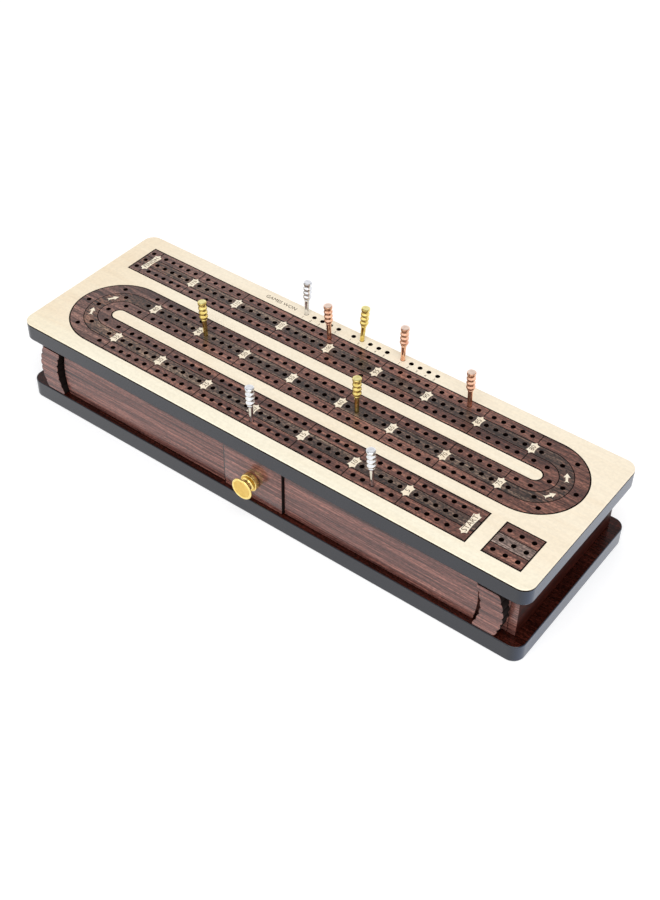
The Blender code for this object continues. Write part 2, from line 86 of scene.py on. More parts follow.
base_low, base_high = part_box("base_board")
maple_low, maple_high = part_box("maple_field")
top_low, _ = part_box("top_board")
SURFACE = maple_high.z
INLAY_PROUD = 0.05 * MM         # the strips stand this much above the maple
INLAY_TOP = SURFACE + INLAY_PROUD
CORNER_RADIUS = 7.2 * MM
EDGE_EASE = 0.5 * MM
EASE_ROUND = 0.3                # how far in the middle of an eased edge lies, as a share of it
RIM_LINE = 1.0 * MM             # the dark line under the maple's rim
BURNT_EDGE = 0.45 * MM          # the charred chamfer round the pockets for the inlays


# ---------------- node materials
class Nodes:
    """A small helper that adds and links shader nodes."""

    def __init__(self, name):
        self.material = bpy.data.materials.new(name)
        self.material.use_nodes = True
        self.tree = self.material.node_tree
        self.shader = self.tree.nodes["Principled BSDF"]

    def add(self, kind, inputs=(), **settings):
        made = self.tree.nodes.new(kind)
        for key, value in settings.items():
            setattr(made, key, value)
        for key, value in dict(inputs).items():
            self.set(made, key, value)
        return made

    def set(self, target, key, value):
        socket = target.inputs[key]
        if isinstance(value, bpy.types.NodeSocket):
            self.tree.links.new(value, socket)
        else:
            socket.default_value = value

    def to_shader(self, **values):
        for key, value in values.items():
            self.set(self.shader, key.replace("_", " "), value)

    def coordinates(self, scale, shift=(0.0, 0.0, 0.0)):
        place = self.add("ShaderNodeTexCoord")
        mapping = self.add("ShaderNodeMapping", {
            "Vector": place.outputs["Object"], "Scale": scale, "Location": shift,
        })
        return mapping.outputs["Vector"]

    def distance_along(self, side):
        """The object's own X, Y or Z coordinate."""
        place = self.add("ShaderNodeTexCoord")
        split = self.add("ShaderNodeSeparateXYZ", {"Vector": place.outputs["Object"]})
        return split.outputs[side]

    def noise(self, vector, detail=4.0, roughness=0.55, distortion=0.0):
        made = self.add("ShaderNodeTexNoise", {
            "Vector": vector, "Scale": 1.0, "Detail": detail, "Roughness": roughness,
            "Distortion": distortion,
        })
        return made.outputs["Fac"]

    def ramp(self, value, stops):
        made = self.add("ShaderNodeValToRGB", {"Fac": value})
        elements = made.color_ramp.elements
        while len(elements) < len(stops):
            elements.new(0.5)
        for element, (position, colour) in zip(elements, stops):
            element.position = position
            element.color = (*colour, 1.0)
        return made.outputs["Color"]

    def grey_ramp(self, value, stops):
        return self.ramp(value, [(place, (tone, tone, tone)) for place, tone in stops])

    def mix(self, factor, first, second, blend="MIX"):
        made = self.add("ShaderNodeMix", data_type="RGBA", blend_type=blend)
        for socket, value in ((0, factor), (6, first), (7, second)):
            self.set(made, socket, (*value, 1.0) if isinstance(value, tuple) else value)
        return made.outputs[2]

    def math(self, operation, first, second=0.0, clamp=False):
        made = self.add("ShaderNodeMath", operation=operation, use_clamp=clamp)
        for index, value in enumerate((first, second)):
            self.set(made, index, value)
        return made.outputs[0]

    def bump(self, height, strength, distance):
        made = self.add("ShaderNodeBump", {
            "Height": height, "Strength": strength, "Distance": distance,
        })
        return made.outputs["Normal"]


NOISE_REACH = 0.13              # how far from a half the blended noise mostly goes
RAGGED = 4.0 * MM               # how uneven the edge between two woods' tones is
EDGE_BLEND = 3.0 * MM           # how wide that edge is


def grain_scale(along, across, axis):
    """Noise scales that stretch a pattern along X or Y."""
    return (along, across, across) if axis == "X" else (across, along, across)


def wood(name, tones, axis="X", shift=(0.0, 0.0, 0.0), contrast=1.0, lines=0.4, pores=0.3,
         figure=0.25, roughness=0.34, coat=0.0, bump=0.10, width=1.0, shine=0.5, ends=None,
         drifts=()):
    """Wood: broad figure, long streaks, finer dark lines and short pores along its grain.

    Where ends is given, (middle, half, tones), the wood further than half from the middle
    along X is of those tones. Each of drifts, (axis, start, end, tint), tints the wood more
    and more from start to end.
    """
    nodes = Nodes(name)
    fine = 1.0 / width
    broad = nodes.noise(nodes.coordinates(grain_scale(7.0, 110.0 * fine, axis), shift),
                        detail=3.0, roughness=0.5, distortion=0.5)
    streaks = nodes.noise(nodes.coordinates(grain_scale(11.0, 520.0 * fine, axis), shift),
                          detail=6.0, roughness=0.66, distortion=0.25)
    dashes = nodes.noise(nodes.coordinates(grain_scale(70.0, 1300.0 * fine, axis), shift),
                         detail=3.0, roughness=0.55)
    fleck = nodes.noise(nodes.coordinates(grain_scale(560.0, 950.0 * fine, axis), shift),
                        detail=2.0, roughness=0.5)
    blend = nodes.math("ADD", nodes.math("MULTIPLY", broad, figure),
                       nodes.math("MULTIPLY", streaks, 1.0 - figure))
    colour = wood_tones(nodes, blend, tones, contrast)
    if ends:
        middle, half, end_tones = ends
        colour = nodes.mix(end_mask(nodes, middle, half, fleck), colour,
                           wood_tones(nodes, blend, end_tones, contrast))
    for side, start, end, tint in drifts:
        past = nodes.math("SUBTRACT", nodes.distance_along(side), start)
        share = nodes.math("DIVIDE", past, end - start, clamp=True)
        colour = nodes.mix(share, colour, nodes.mix(1.0, colour, tint, "MULTIPLY"))
    line = nodes.grey_ramp(dashes, [(0.36, 1.0 - lines), (0.50, 1.0), (0.66, 1.0 + lines * 0.4)])
    pore = nodes.grey_ramp(fleck, [(0.38, 1.0 - pores), (0.50, 1.0), (0.62, 1.0 + pores)])
    colour = nodes.mix(1.0, colour, line, "MULTIPLY")
    colour = nodes.mix(1.0, colour, pore, "MULTIPLY")
    relief = nodes.math("ADD", fleck, nodes.math("ADD", dashes, streaks))
    nodes.to_shader(
        Base_Color=colour,
        Roughness=nodes.math("ADD", nodes.math("MULTIPLY", dashes, 0.16), roughness - 0.08),
        Normal=nodes.bump(relief, bump, 0.10 * MM), Specular_IOR_Level=shine,
        Coat_Weight=coat, Coat_Roughness=0.10,
    )
    return nodes.material


def wood_tones(nodes, blend, tones, contrast):
    """Dark, middle and light tones laid over a noise that keeps close to a half."""
    dark, middle, light = tones
    reach = NOISE_REACH / contrast
    return nodes.ramp(blend, [(0.5 - reach, dark), (0.5, middle), (0.5 + reach, light)])


def end_mask(nodes, middle, half, ragged):
    """1 beyond half from the middle along X and 0 within it, with a ragged edge."""
    away = nodes.math("SUBTRACT", nodes.distance_along("X"), middle)
    away = nodes.math("ABSOLUTE", away)
    away = nodes.math("ADD", away, nodes.math("MULTIPLY", ragged, RAGGED))
    return nodes.math("DIVIDE", nodes.math("SUBTRACT", away, half), EDGE_BLEND, clamp=True)


def painted(name, colour, roughness, sheen=0.0, shine=0.5, end_reflection_colour=None):
    """Sprayed paint on wood: a faint orange peel, and small changes of sheen.

    Where an end colour is given, the faces that look along X turn to it, a painted bluish
    reflection of the light falling on the board's ends.
    """
    nodes = Nodes(name)
    # painted reflection: the faces that look along X are tinted towards the bluish end colour
    if end_reflection_colour:
        surface = nodes.add("ShaderNodeNewGeometry")
        split = nodes.add("ShaderNodeSeparateXYZ", {"Vector": surface.outputs["Normal"]})
        facing = nodes.math("POWER", nodes.math("ABSOLUTE", split.outputs["X"]), 2.0)
        colour = nodes.mix(facing, colour, end_reflection_colour)
    peel = nodes.noise(nodes.coordinates((900.0,) * 3), detail=2.0)
    cloud = nodes.noise(nodes.coordinates((28.0,) * 3), detail=4.0)
    tone = nodes.grey_ramp(cloud, [(0.3, 0.86), (0.7, 1.1)])
    nodes.to_shader(
        Base_Color=nodes.mix(1.0, colour, tone, "MULTIPLY"),
        Roughness=nodes.math("ADD", nodes.math("MULTIPLY", cloud, 0.14), roughness - 0.07),
        Normal=nodes.bump(peel, 0.08, 0.06 * MM), Coat_Weight=sheen,
        Specular_Tint=(0.90, 0.95, 1.0, 1.0), Specular_IOR_Level=shine,
    )
    return nodes.material


def metal(name, colour, worn, roughness):
    """Turned and polished metal: fine tool rings, light scuffs and a little tarnish."""
    nodes = Nodes(name)
    rings = nodes.noise(nodes.coordinates((260.0, 260.0, 9000.0)), detail=2.0)
    cloud = nodes.noise(nodes.coordinates((420.0,) * 3), detail=5.0, roughness=0.6)
    tint = nodes.ramp(cloud, [(0.32, worn), (0.62, colour)])
    nodes.to_shader(
        Base_Color=tint, Metallic=1.0,
        Roughness=nodes.math("ADD", nodes.math("MULTIPLY", cloud, 0.16), roughness - 0.06),
        Normal=nodes.bump(rings, 0.06, 0.05 * MM),
    )
    return nodes.material


ROSE_TONES = ((0.034, 0.011, 0.009), (0.140, 0.055, 0.039), (0.350, 0.155, 0.108))
TURN_TONES = ((0.020, 0.010, 0.007), (0.098, 0.049, 0.035), (0.240, 0.135, 0.094))
DARK_TONES = ((0.018, 0.010, 0.007), (0.080, 0.044, 0.032), (0.220, 0.155, 0.110))
BLOCK_TONES = ((0.075, 0.047, 0.040), (0.190, 0.130, 0.108), (0.340, 0.255, 0.215))
BODY_TONES = ((0.034, 0.012, 0.011), (0.138, 0.054, 0.044), (0.300, 0.125, 0.095))
BASE_TONES = ((0.012, 0.002, 0.0012), (0.027, 0.0044, 0.0024), (0.060, 0.012, 0.007))
MAPLE_TONES = ((0.82, 0.695, 0.51), (0.870, 0.765, 0.590), (0.90, 0.82, 0.65))
PINE_TONES = ((0.42, 0.27, 0.14), (0.60, 0.42, 0.25), (0.72, 0.54, 0.35))

# the maple is deeper in tone at its left end and paler along its front edge
MAPLE_DRIFTS = (("X", -115.0 * MM, -172.0 * MM, (0.97, 0.93, 0.87)),
                ("Y", -40.0 * MM, -54.0 * MM, (1.02, 1.07, 1.09)))
# the inlays are darker to the right, and the rosewood greyer and the dark wood browner to the left
RIGHT_DRIFT = ("X", 0.0, 135.0 * MM, (0.80, 0.77, 0.76))
ROSE_DRIFTS = (RIGHT_DRIFT, ("X", -60.0 * MM, -130.0 * MM, (0.88, 1.02, 1.10)))
DARK_DRIFTS = (RIGHT_DRIFT, ("X", -60.0 * MM, -130.0 * MM, (1.08, 0.96, 0.88)))
# the drawer front's left edge is dark
DRAWER_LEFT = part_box("drawer_front")[0].x
DRAWER_DRIFTS = (("X", DRAWER_LEFT + 1.1 * MM, DRAWER_LEFT + 0.8 * MM, (0.06, 0.05, 0.05)),)
# the middle of the lanes, and where beyond it the turns begin
TURN_MIDDLE = (LEFT_TURN_X + RIGHT_TURN_X) / 2
TURN_HALF = (RIGHT_TURN_X - LEFT_TURN_X) / 2 + TURN_RADIUS * 0.45

maple = wood("maple_face", MAPLE_TONES, lines=0.02, pores=0.03, roughness=0.36, coat=0.2,
             bump=0.03, figure=0.5, contrast=0.55, width=1.6, drifts=MAPLE_DRIFTS)
badge_maple = wood("maple_badge", MAPLE_TONES, axis="Y", lines=0.05, pores=0.05,
                   roughness=0.4, bump=0.03)
ROSE = {"tones": ROSE_TONES, "lines": 0.5, "pores": 0.42}
BODY = {"tones": BODY_TONES, "roughness": 0.28, "coat": 0.1, "contrast": 1.1, "width": 0.6}
rose_outer = wood("inlay_rosewood_outer", drifts=ROSE_DRIFTS, **ROSE)
rose_inner = wood("inlay_rosewood_inner", shift=(0.4, 7.3, 0.2), drifts=ROSE_DRIFTS, **ROSE)
rose_block = wood("inlay_rosewood_block", shift=(2.6, 4.1, 0.2), **ROSE)
inlay_dark = wood("inlay_dark_wood", DARK_TONES, shift=(1.3, 3.1, 0.0), lines=0.6, pores=0.75,
                  figure=0.1, width=0.8, ends=(TURN_MIDDLE, TURN_HALF, TURN_TONES),
                  drifts=DARK_DRIFTS)
block_dark = wood("inlay_block_wood", BLOCK_TONES, lines=0.5, pores=0.5, width=0.8)
body_rose = wood("body_rosewood", **BODY)
body_rose_right = wood("body_rosewood_right", shift=(3.7, 1.9, 6.4), **BODY)
drawer_rose = wood("drawer_rosewood", BODY_TONES, roughness=0.22, coat=0.2, contrast=1.1,
                   width=0.6, shift=(0.9, 5.2, 8.6), drifts=DRAWER_DRIFTS)
bracket_rose = wood("bracket_rosewood", BODY_TONES, roughness=0.28, coat=0.1, width=0.7,
                    shift=(5.1, 2.2, 3.3))
base_rose = wood("base_veneer", BASE_TONES, roughness=0.24, shift=(0.3, 0.7, 0.1), pores=0.5,
                 contrast=0.8, shine=0.25, bump=0.05)
end_rose = wood("end_rosewood", BASE_TONES, axis="Y", roughness=0.42, pores=0.4, contrast=0.8,
                shine=0.04, bump=0.04, shift=(0.2, 0.4, 0.9))
pine = wood("drawer_pine", PINE_TONES, axis="Y", lines=0.12, pores=0.12, roughness=0.55,
            contrast=0.8, width=1.6)
# black paint, with a painted bluish reflection on the faces at the board's ends
edge_paint_and_end_reflection = painted("black_edge_paint", (0.009, 0.009, 0.013), 0.20, 0.12,
                     end_reflection_colour=(0.008, 0.022, 0.058))
charred = painted("charred_edge", (0.010, 0.006, 0.005), 0.7, shine=0.08)
rim_line = painted("rim_line", (0.014, 0.008, 0.005), 0.8, shine=0.05)
ink = painted("engraved_ink", (0.10, 0.065, 0.042), 0.8, shine=0.1)
# painted shade: the holes' walls and eased rims are near black, standing in for the shade inside
# the drilled holes
hole_shade = painted("hole_wall_painted_shade", (0.006, 0.002, 0.0015), 0.8, shine=0.05)
brass = metal("knob_brass", (0.99, 0.79, 0.30), (0.88, 0.63, 0.19), 0.22)
brass_face = metal("knob_brass_face", (0.82, 0.57, 0.16), (0.72, 0.46, 0.10), 0.30)
# each peg metal has a paler, rougher copy for the peg's flat top: a painted highlight
gold = metal("peg_gold", (0.92, 0.76, 0.28), (0.66, 0.48, 0.12), 0.12)
gold_top_painted_light = metal("peg_gold_top", (0.97, 0.90, 0.45), (0.84, 0.72, 0.28), 0.36)
silver = metal("peg_silver", (0.84, 0.85, 0.87), (0.60, 0.61, 0.63), 0.10)
silver_top_painted_light = metal("peg_silver_top", (0.95, 0.96, 0.98), (0.84, 0.85, 0.88), 0.42)
copper = metal("peg_copper", (0.93, 0.60, 0.43), (0.68, 0.33, 0.21), 0.14)
copper_top_painted_light = metal("peg_copper_top", (0.97, 0.80, 0.68), (0.90, 0.68, 0.56), 0.42)
steel = metal("screw_steel", (0.60, 0.60, 0.60), (0.40, 0.40, 0.42), 0.24)


# ---------------- outlines
def arc(centre, radius, start, end, steps):
    turn = (end - start) / steps
    return [
        (centre[0] + radius * cos(start + turn * i), centre[1] + radius * sin(start + turn * i))
        for i in range(steps + 1)
    ]


def circle(centre, radius):
    last = HOLE_SIDES - 1
    return arc(centre, radius, 0.0, 2 * pi * last / HOLE_SIDES, last)


def rectangle(low, high):
    return [(low[0], low[1]), (high[0], low[1]), (high[0], high[1]), (low[0], high[1])]


def board_outline(low, high, inset=0.0):
    """The boards' outline, a rectangle with round corners, moved in by inset."""
    radius = CORNER_RADIUS - inset
    x_low, y_low = low[0] + CORNER_RADIUS, low[1] + CORNER_RADIUS
    x_high, y_high = high[0] - CORNER_RADIUS, high[1] - CORNER_RADIUS
    points = []
    corners = ((x_high, y_high), (x_low, y_high), (x_low, y_low), (x_high, y_low))
    for quarter, centre in enumerate(corners):
        start = quarter * pi / 2
        points += arc(centre, radius, start, start + pi / 2, CORNER_STEPS)
    return points


def track_line(offset, end_trim=0.0):
    """A line along the S-shaped track, offset to the left of the direction of play."""
    left_centre = (LEFT_TURN_X, (FRONT_LANE_Y + MIDDLE_LANE_Y) / 2)
    right_centre = (RIGHT_TURN_X, (MIDDLE_LANE_Y + BACK_LANE_Y) / 2)
    line = [(START_X - end_trim, FRONT_LANE_Y - offset)]
    line += arc(left_centre, TURN_RADIUS + offset, -pi / 2, -3 * pi / 2, ARC_STEPS)
    line += arc(right_centre, TURN_RADIUS - offset, -pi / 2, pi / 2, ARC_STEPS)
    line.append((FINISH_X + end_trim, BACK_LANE_Y - offset))
    return line


def ribbon(low, high, end_trim=0.0):
    return track_line(low, end_trim) + track_line(high, end_trim)[::-1]


# ---------------- hole positions
def group_hole(group, index):
    return FIRST_HOLE_X + group * GROUP_PERIOD + index * PITCH


def lane_group(group, y):
    return [(group_hole(group, i), y) for i in range(GROUP_HOLES)]


def turn_holes(centre_x, lower_lane_y, side, radius):
    """A strip's three holes round a turn; the tighter the turn, the wider their angles."""
    centre_y = lower_lane_y + LANE_SPACING / 2
    spread = TURN_SPREADS[round((radius - TURN_RADIUS) / TRACK_OFFSET) + 1]
    return [
        (centre_x + side * radius * cos(angle), centre_y + radius * sin(angle))
        for angle in (-spread, 0.0, spread)
    ]


def games_hole(row, index):
    """A games-won hole; the middle row of five is row 0."""
    along = row * GAMES_PERIOD + (index - GROUP_HOLES // 2) * GAMES_PITCH
    return (GAMES_MIDDLE_X + along, GAMES_ROW_Y)


def games_rows():
    return [[games_hole(row, i) for i in range(GROUP_HOLES)] for row in (-1, 0, 1)]


def track_holes(offset):
    """All the holes of one player's track, from the start to the finish hole."""
    front, middle, back = FRONT_LANE_Y - offset, MIDDLE_LANE_Y + offset, BACK_LANE_Y - offset
    holes = []
    for group in range(1, LANE_GROUPS):
        holes += lane_group(group, front) + lane_group(group, middle)
    for group in range(LANE_GROUPS):
        holes += lane_group(group, back)
    holes.append((FINISH_HOLE_X, back))
    holes += turn_holes(LEFT_TURN_X, FRONT_LANE_Y, -1, TURN_RADIUS + offset)
    holes += turn_holes(RIGHT_TURN_X, MIDDLE_LANE_Y, 1, TURN_RADIUS - offset)
    holes += [(TURN_ENTRY_LEFT_X, front), (TURN_ENTRY_LEFT_X, middle)]
    holes += [(TURN_ENTRY_RIGHT_X, middle), (TURN_ENTRY_RIGHT_X, back)]
    return holes


# ---------------- mesh building
def place_object(name, data):
    made = bpy.data.objects.new(name, data)
    bpy.context.scene.collection.objects.link(made)
    return made


def evaluated_mesh(item):
    """The mesh that an object's modifiers or its lettering make."""
    bpy.context.view_layer.update()
    graph = bpy.context.evaluated_depsgraph_get()
    return bpy.data.meshes.new_from_object(item.evaluated_get(graph))


def finish_mesh(name, mesh_data, materials, angle=20):
    """The mesh as an object, smooth but for edges sharper than angle, in degrees."""
    bmesh.ops.recalc_face_normals(mesh_data, faces=mesh_data.faces)
    mesh = bpy.data.meshes.new(name)
    mesh_data.to_mesh(mesh)
    mesh_data.free()
    mesh.shade_smooth()
    mesh.set_sharp_from_angle(angle=radians(angle))
    for item in materials:
        mesh.materials.append(item)
    return place_object(name, mesh)


def ring(mesh_data, points, height):
    verts = [mesh_data.verts.new((x, y, height)) for x, y in points]
    edges = [mesh_data.edges.new((verts[i - 1], verts[i])) for i in range(len(verts))]
    return verts, edges


def stack(mesh_data, levels, slots):
    """Rings joined one to the next by walls; returns the first and last ring's edges."""
    rings = [ring(mesh_data, points, height) for height, points in levels]
    for (lower, upper), slot in zip(zip(rings, rings[1:]), slots):
        for i in range(len(lower[0])):
            face = mesh_data.faces.new(
                (lower[0][i - 1], lower[0][i], upper[0][i], upper[0][i - 1]))
            face.material_index = slot
    return rings[0], rings[-1]


def fill(mesh_data, edges, slot):
    made = bmesh.ops.triangle_fill(
        mesh_data, use_beauty=True, use_dissolve=False, edges=edges)
    for item in made["geom"]:
        if isinstance(item, bmesh.types.BMFace):
            item.material_index = slot


def plate(name, sides, materials, cuts=(), wells=(), side_slots=None):
    """A flat piece. sides and cuts are rings from the bottom up, wells from the top down.

    Material 0 is the top face's, 1 the sides', 2 the holes' and 3 the underside's, or the
    last one where there are fewer. side_slots gives the sides other materials.
    """
    mesh_data = bmesh.new()
    first, last = stack(mesh_data, sides, side_slots or [1] * (len(sides) - 1))
    bottom_edges, top_edges = list(first[1]), list(last[1])
    for levels in cuts:
        first, last = stack(mesh_data, levels, [1] * (len(levels) - 1))
        bottom_edges += first[1]
        top_edges += last[1]
    for levels in wells:
        first, last = stack(mesh_data, levels, [2] * (len(levels) - 1))
        floor = mesh_data.faces.new(last[0])
        floor.material_index = 2
        top_edges += first[1]
    fill(mesh_data, top_edges, 0)
    fill(mesh_data, bottom_edges, min(3, len(materials) - 1))
    return finish_mesh(name, mesh_data, materials)


def hole_levels(centre, surface):
    """A drilled blind hole with a softened rim and a conical end."""
    floor = SURFACE - HOLE_DEPTH
    return [
        (surface, circle(centre, HOLE_RADIUS + HOLE_EASE)),
        (surface - HOLE_EASE, circle(centre, HOLE_RADIUS)),
        (floor, circle(centre, HOLE_RADIUS)),
        (floor - HOLE_TIP_DEPTH, circle(centre, HOLE_TIP_RADIUS)),
    ]


def inset_outline(points, distance):
    """A closed outline moved inward by a small distance."""
    area = sum(
        points[i - 1][0] * points[i][1] - points[i][0] * points[i - 1][1]
        for i in range(len(points)))
    side = distance if area > 0 else -distance
    made = []
    for i, point in enumerate(points):
        here = Vector(point)
        incoming = (here - Vector(points[i - 1])).normalized()
        outgoing = (Vector(points[(i + 1) % len(points)]) - here).normalized()
        along = (incoming + outgoing).normalized()
        made.append((here.x - along.y * side, here.y + along.x * side))
    return made


def turned(name, profile, centre, axis, material, sides):
    """A solid of revolution from (along, radius) points, both ends on the axis."""
    mesh_data = bmesh.new()
    rings = []
    for along, radius in profile:
        count = sides if radius > 0 else 1
        rings.append([
            mesh_data.verts.new(axis_point(centre, axis, along, radius, 2 * pi * i / sides))
            for i in range(count)
        ])
    for first, second in zip(rings, rings[1:]):
        for i in range(sides):
            near = [first[i - 1], first[i]] if len(first) > 1 else first
            far = [second[i], second[i - 1]] if len(second) > 1 else second
            mesh_data.faces.new(near + far)
    return finish_mesh(name, mesh_data, [material], angle=32)


def in_mm(profile):
    return [(along * MM, radius * MM) for along, radius in profile]


def axis_point(centre, axis, along, radius, angle):
    across, up = radius * cos(angle), radius * sin(angle)
    offset = (across, up, along) if axis == "Z" else (across, -along, up)
    return Vector(centre) + Vector(offset)


# ---------------- boards
def edge_levels(low, high, height, up):
    """Rings of an eased edge, from the flat face at height towards the side, up or down."""
    return [
        (height + up * EDGE_EASE * share, board_outline(low, high, EDGE_EASE * inset))
        for share, inset in ((0.0, 1.0), (EASE_ROUND, EASE_ROUND), (1.0, 0.0))
    ]


def make_base_board():
    """The lower board: painted edges and underside, rosewood veneer on top."""
    low, high = base_low, base_high
    levels = edge_levels(low, high, low.z, 1) + edge_levels(low, high, high.z, -1)[::-1]
    piece = plate("base_board_finished", levels, [base_rose, edge_paint_and_end_reflection, edge_paint_and_end_reflection, edge_paint_and_end_reflection])
    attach(piece, "board")
    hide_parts("base_board")


def make_top_board():
    """The upper board's core, painted to match the base."""
    low = top_low
    high = Vector((maple_high.x, maple_high.y, maple_low.z))
    levels = edge_levels(low, high, low.z, 1)
    levels.append((high.z, board_outline(low, high)))
    piece = plate("top_board_finished", levels, [edge_paint_and_end_reflection, edge_paint_and_end_reflection])
    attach(piece, "board")
    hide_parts("top_board")


def make_maple_field():
    """The maple playing face, with a thin dark line under its rim."""
    low, high = maple_low, maple_high
    levels = [
        (low.z, board_outline(low, high)),
        (high.z - EDGE_EASE - RIM_LINE, board_outline(low, high)),
        *edge_levels(low, high, high.z, -1)[::-1],
    ]
    half = LANE_WIDTH / 2 + JOINT / 2
    block_low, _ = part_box("start_block_front")
    _, block_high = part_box("start_block_back")
    pocket = rectangle((block_low.x - JOINT, FRONT_LANE_Y - half),
                       (block_high.x + JOINT, FRONT_LANE_Y + half))
    burnt = half + BURNT_EDGE
    burnt_pocket = rectangle(
        (pocket[0][0] - BURNT_EDGE, pocket[0][1] - BURNT_EDGE),
        (pocket[2][0] + BURNT_EDGE, pocket[2][1] + BURNT_EDGE))
    shoulder = high.z - BURNT_EDGE / 2
    cuts = [
        [(low.z, ribbon(-half, half)), (shoulder, ribbon(-half, half)),
         (high.z, ribbon(-burnt, burnt, -BURNT_EDGE))],
        [(low.z, pocket), (shoulder, pocket), (high.z, burnt_pocket)],
    ]
    wells = []
    for row in games_rows():
        for centre in row:
            wells.append(hole_levels(centre, high.z))
    piece = plate("maple_face", levels, [maple, edge_paint_and_end_reflection, hole_shade, edge_paint_and_end_reflection, rim_line],
                  cuts, wells, side_slots=[1, 4, 0, 0])
    darken_cut_walls(piece, low, high)
    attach(piece, "board")
    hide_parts("maple_field")


def darken_cut_walls(piece, low, high):
    """The walls of the inlay pockets are charred by the cutter."""
    piece.data.materials.append(charred)
    slot = len(piece.data.materials) - 1
    margin = CORNER_RADIUS
    for face in piece.data.polygons:
        x, y, _ = face.center
        inside = low.x + margin < x < high.x - margin and low.y + margin < y < high.y - margin
        if face.material_index == 1 and inside:
            face.material_index = slot


def strip_edges(index):
    return (index - 0.5) * STRIP_WIDTH + JOINT / 2, (index + 0.5) * STRIP_WIDTH - JOINT / 2


def make_inlay(node, outline, centres, face, slot):
    """One inlaid strip, standing a hair above the maple, with charred sides."""
    low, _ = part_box(node)
    levels = [
        (low.z, outline(0.0)),
        (INLAY_TOP - HOLE_EASE, outline(0.0)),
        (INLAY_TOP, outline(HOLE_EASE * 0.8)),
    ]
    wells = [hole_levels(centre, INLAY_TOP) for centre in centres]
    piece = plate(node + "_finished", levels, [face, charred, hole_shade, charred], wells=wells)
    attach(piece, "board")
    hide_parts(node)


def make_track_strips():
    for node, index, face, slot in (
        ("track_strip_outer", 1, rose_outer, "inlay_rosewood"),
        ("track_strip_centre", 0, inlay_dark, "inlay_dark"),
        ("track_strip_inner", -1, rose_inner, "inlay_rosewood"),
    ):
        low, high = strip_edges(index)

        def outline(inset, low=low, high=high):
            return ribbon(low + inset, high - inset, JOINT + inset)

        make_inlay(node, outline, track_holes(index * TRACK_OFFSET), face, slot)


def make_starting_block():
    for node, index, face, slot in (
        ("start_block_front", -1, rose_block, "inlay_rosewood"),
        ("start_block_centre", 0, block_dark, "inlay_dark"),
        ("start_block_back", 1, rose_block, "inlay_rosewood"),
    ):
        low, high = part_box(node)
        middle_x = (low.x + high.x) / 2
        centres = [
            (middle_x + step * BLOCK_HOLE_STEP, FRONT_LANE_Y + index * TRACK_OFFSET)
            for step in (-1, 0, 1)
        ]

        def outline(inset, low=low, high=high):
            return rectangle((low.x + inset, low.y + inset), (high.x - inset, high.y - inset))

        make_inlay(node, outline, centres, face, slot)


# ---------------- surface inlays
BADGE_THICKNESS = 0.08 * MM
LIFT = 0.02 * MM                # keeps a surface inlay just clear of what it lies on
BADGE_LOW = INLAY_TOP + LIFT
BADGE_TOP = BADGE_LOW + BADGE_THICKNESS
POINT_BADGE = (0.42 * PITCH, 0.80 * PITCH, 0.28 * PITCH)  # half width, half height, tip
LONG_BADGE = (0.39 * PITCH, 1.44 * PITCH, 0.30 * PITCH)
BADGE_HOLLOW = 0.26             # how hollow a badge's sides are, as a share of its half width
HOLLOW_STEPS = 5
START_BADGE = (FIRST_HOLE_X + 44.96 * PITCH, FRONT_LANE_Y)
FINISH_BADGE = (FIRST_HOLE_X - 0.85 * PITCH, BACK_LANE_Y)
LEFT_ARROWS = (-27, 33)         # the arrows' places round the turns, in degrees
RIGHT_ARROWS = (-32, 27)
SEPARATOR_HALF = 0.30 * MM
BADGE_POINTS = 5                # from one badge to the next


def label_outline(half_width, half_height, tip):
    """A label with a pointed top and bottom and four small points joined by hollow curves."""
    shoulder = half_height - tip
    hollow = BADGE_HOLLOW * half_width
    points = []
    corners = [
        (0.0, half_height), (half_width, shoulder), (half_width, -shoulder),
        (0.0, -half_height), (-half_width, -shoulder), (-half_width, shoulder),
    ]
    for index, corner in enumerate(corners):
        following = corners[(index + 1) % len(corners)]
        middle = Vector(((corner[0] + following[0]) / 2, (corner[1] + following[1]) / 2))
        inward = -middle.normalized() * hollow * 2
        for step in range(HOLLOW_STEPS):
            share = step / HOLLOW_STEPS
            point = Vector(corner).lerp(Vector(following), share)
            points.append(tuple(point + inward * share * (1 - share) * 2))
    return points


def arrow_outline():
    """A short arrow with a notched tail, pointing along +X."""
    half = [(0.62, 0.0), (0.10, 0.30), (0.14, 0.12), (-0.36, 0.10), (-0.52, 0.24), (-0.42, 0.0)]
    mirrored = [(x, -y) for x, y in half[-2:0:-1]]
    return [(x * PITCH, y * PITCH) for x, y in half + mirrored]


def placed(outline, centre, angle=0.0):
    c, s = cos(angle), sin(angle)
    return [(centre[0] + x * c - y * s, centre[1] + x * s + y * c) for x, y in outline]


def add_chip(mesh_data, outline, low, high):
    """A thin flat chip added to a mesh that gathers many of them."""
    first, last = stack(mesh_data, [(low, outline), (high, outline)], [0])
    fill(mesh_data, first[1], 0)
    fill(mesh_data, last[1], 0)


def separator_x(index):
    return FIRST_SEPARATOR_X + index * GROUP_PERIOD


def badge_places():
    """(x, y, number) of every point badge: the numbers climb along the track."""
    places = [(separator_x(i), FRONT_LANE_Y, 35 - BADGE_POINTS * i) for i in range(LANE_GROUPS - 1)]
    places += [(separator_x(i), MIDDLE_LANE_Y, 40 + BADGE_POINTS * i) for i in range(LANE_GROUPS)]
    places += [(separator_x(i), BACK_LANE_Y, 115 - BADGE_POINTS * i) for i in range(LANE_GROUPS)]
    return places


